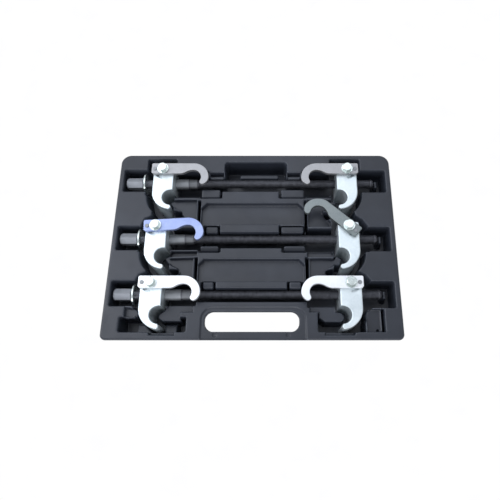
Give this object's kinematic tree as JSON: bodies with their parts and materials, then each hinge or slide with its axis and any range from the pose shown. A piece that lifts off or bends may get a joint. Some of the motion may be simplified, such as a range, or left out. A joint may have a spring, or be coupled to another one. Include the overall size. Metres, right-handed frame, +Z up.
{
  "type": "coil spring compressor set",
  "caption": "Set of screw-type coil spring compressors with hooked jaws and swinging safety hooks, lying in a moulded plastic case tray with a handle hole.",
  "frame": {"origin": "centre of the case tray's footprint, on its underside", "axes": "+X along the spindles towards their free ends, +Y away from the handle hole, +Z up out of the tray"},
  "size_m": [0.4376, 0.3015, 0.0695],
  "materials": {
    "case_plastic": "blow-moulded, fine grain",
    "tray_plastic": "blow-moulded, fine grain",
    "zinc_casting": "bright zinc plated forging",
    "zinc_plate": "satin zinc plated plate",
    "bright_zinc": "bright zinc plated",
    "plain_steel": "turned, unplated",
    "black_oxide_steel": "black oxide, oiled"
  },
  "bodies": {
    "case": {"case_shell": "case_plastic", "tray_liner_back_left": "tray_plastic", "tray_liner_back_middle": "tray_plastic", "tray_liner_back_right": "tray_plastic", "tray_liner_centre_left": "tray_plastic", "tray_liner_centre_middle": "tray_plastic", "tray_liner_centre_right": "tray_plastic", "tray_liner_front_left": "tray_plastic", "tray_liner_front_middle": "tray_plastic", "tray_liner_front_right": "tray_plastic"},
    "compressor_1": {"head_jaw_1": "zinc_casting", "head_pivot_bolt_1": "bright_zinc", "head_washer_1": "bright_zinc"},
    "screw_1": {"spindle_1": "black_oxide_steel", "thrust_disc_1": "bright_zinc", "spacer_sleeve_1": "plain_steel", "retaining_ring_1": "black_oxide_steel", "collar_1": "black_oxide_steel", "end_ring_1": "black_oxide_steel"},
    "travelling_jaw_1": {"screw_jaw_1": "zinc_casting", "screw_pivot_bolt_1": "bright_zinc", "screw_washer_1": "bright_zinc"},
    "head_hook_1": {"head_hook_1": "zinc_plate", "head_stop_pin_1": "plain_steel"},
    "screw_hook_1": {"screw_hook_1": "zinc_plate", "screw_stop_pin_1": "plain_steel"},
    "compressor_2": {"head_jaw_2": "zinc_casting", "head_pivot_bolt_2": "bright_zinc", "head_washer_2": "bright_zinc"},
    "screw_2": {"spindle_2": "black_oxide_steel", "thrust_disc_2": "bright_zinc", "spacer_sleeve_2": "plain_steel", "retaining_ring_2": "black_oxide_steel", "collar_2": "black_oxide_steel", "end_ring_2": "black_oxide_steel"},
    "travelling_jaw_2": {"screw_jaw_2": "zinc_casting", "screw_pivot_bolt_2": "bright_zinc", "screw_washer_2": "bright_zinc"},
    "head_hook_2": {"head_hook_2": "zinc_plate", "head_stop_pin_2": "plain_steel"},
    "screw_hook_2": {"screw_hook_2": "zinc_plate", "screw_stop_pin_2": "plain_steel"},
    "compressor_3": {"head_jaw_3": "zinc_casting", "head_pivot_bolt_3": "bright_zinc", "head_washer_3": "bright_zinc"},
    "screw_3": {"spindle_3": "black_oxide_steel", "thrust_disc_3": "bright_zinc", "spacer_sleeve_3": "plain_steel", "retaining_ring_3": "black_oxide_steel", "collar_3": "black_oxide_steel", "end_ring_3": "black_oxide_steel"},
    "travelling_jaw_3": {"screw_jaw_3": "zinc_casting", "screw_pivot_bolt_3": "bright_zinc", "screw_washer_3": "bright_zinc"},
    "head_hook_3": {"head_hook_3": "zinc_plate", "head_stop_pin_3": "plain_steel"},
    "screw_hook_3": {"screw_hook_3": "zinc_plate", "screw_stop_pin_3": "plain_steel"}
  },
  "joints": [
    {"name": "lift_out_1", "type": "slide", "parent": "case", "child": "compressor_1", "axis": [0, 0, 1], "range_m": [0, 0.65]},
    {"name": "spindle_turn_1", "type": "hinge", "parent": "compressor_1", "child": "screw_1", "pos_m": [0, 0.1024, 0.031], "axis": [1, 0, 0], "range_deg": [0, 23400]},
    {"name": "jaw_travel_1", "type": "slide", "parent": "compressor_1", "child": "travelling_jaw_1", "axis": [-1, 0, 0], "range_m": [0, 0.13]},
    {"name": "head_hook_swing_1", "type": "hinge", "parent": "compressor_1", "child": "head_hook_1", "pos_m": [-0.1446, 0.1139, 0.059], "axis": [0, 0, 1], "range_deg": [0, 75]},
    {"name": "screw_hook_swing_1", "type": "hinge", "parent": "travelling_jaw_1", "child": "screw_hook_1", "pos_m": [0.1462, 0.1139, 0.059], "axis": [0, 0, -1], "range_deg": [0, 75]},
    {"name": "lift_out_2", "type": "slide", "parent": "case", "child": "compressor_2", "axis": [0, 0, 1], "range_m": [0, 0.65]},
    {"name": "spindle_turn_2", "type": "hinge", "parent": "compressor_2", "child": "screw_2", "pos_m": [0, 0.0055, 0.031], "axis": [1, 0, 0], "range_deg": [0, 23400]},
    {"name": "jaw_travel_2", "type": "slide", "parent": "compressor_2", "child": "travelling_jaw_2", "axis": [-1, 0, 0], "range_m": [0, 0.13]},
    {"name": "head_hook_swing_2", "type": "hinge", "parent": "compressor_2", "child": "head_hook_2", "pos_m": [-0.1481, 0.017, 0.059], "axis": [0, 0, 1], "range_deg": [-3.5, 71.5]},
    {"name": "screw_hook_swing_2", "type": "hinge", "parent": "travelling_jaw_2", "child": "screw_hook_2", "pos_m": [0.1449, 0.017, 0.059], "axis": [0, 0, -1], "range_deg": [-41, 34]},
    {"name": "lift_out_3", "type": "slide", "parent": "case", "child": "compressor_3", "axis": [0, 0, 1], "range_m": [0, 0.65]},
    {"name": "spindle_turn_3", "type": "hinge", "parent": "compressor_3", "child": "screw_3", "pos_m": [0, -0.0834, 0.031], "axis": [1, 0, 0], "range_deg": [0, 23400]},
    {"name": "jaw_travel_3", "type": "slide", "parent": "compressor_3", "child": "travelling_jaw_3", "axis": [-1, 0, 0], "range_m": [0, 0.13]},
    {"name": "head_hook_swing_3", "type": "hinge", "parent": "compressor_3", "child": "head_hook_3", "pos_m": [-0.1476, -0.0719, 0.059], "axis": [0, 0, 1], "range_deg": [0, 75]},
    {"name": "screw_hook_swing_3", "type": "hinge", "parent": "travelling_jaw_3", "child": "screw_hook_3", "pos_m": [0.1434, -0.0719, 0.059], "axis": [0, 0, -1], "range_deg": [0, 75]}
  ],
  "couplings": [
    {"joint": "jaw_travel_1", "follows": "lift_out_1", "ratio": 0.2},
    {"joint": "spindle_turn_1", "follows": "lift_out_1", "rad_per_m": 628.32},
    {"joint": "jaw_travel_2", "follows": "lift_out_2", "ratio": 0.2},
    {"joint": "spindle_turn_2", "follows": "lift_out_2", "rad_per_m": 628.32},
    {"joint": "jaw_travel_3", "follows": "lift_out_3", "ratio": 0.2},
    {"joint": "spindle_turn_3", "follows": "lift_out_3", "rad_per_m": 628.32}
  ]
}
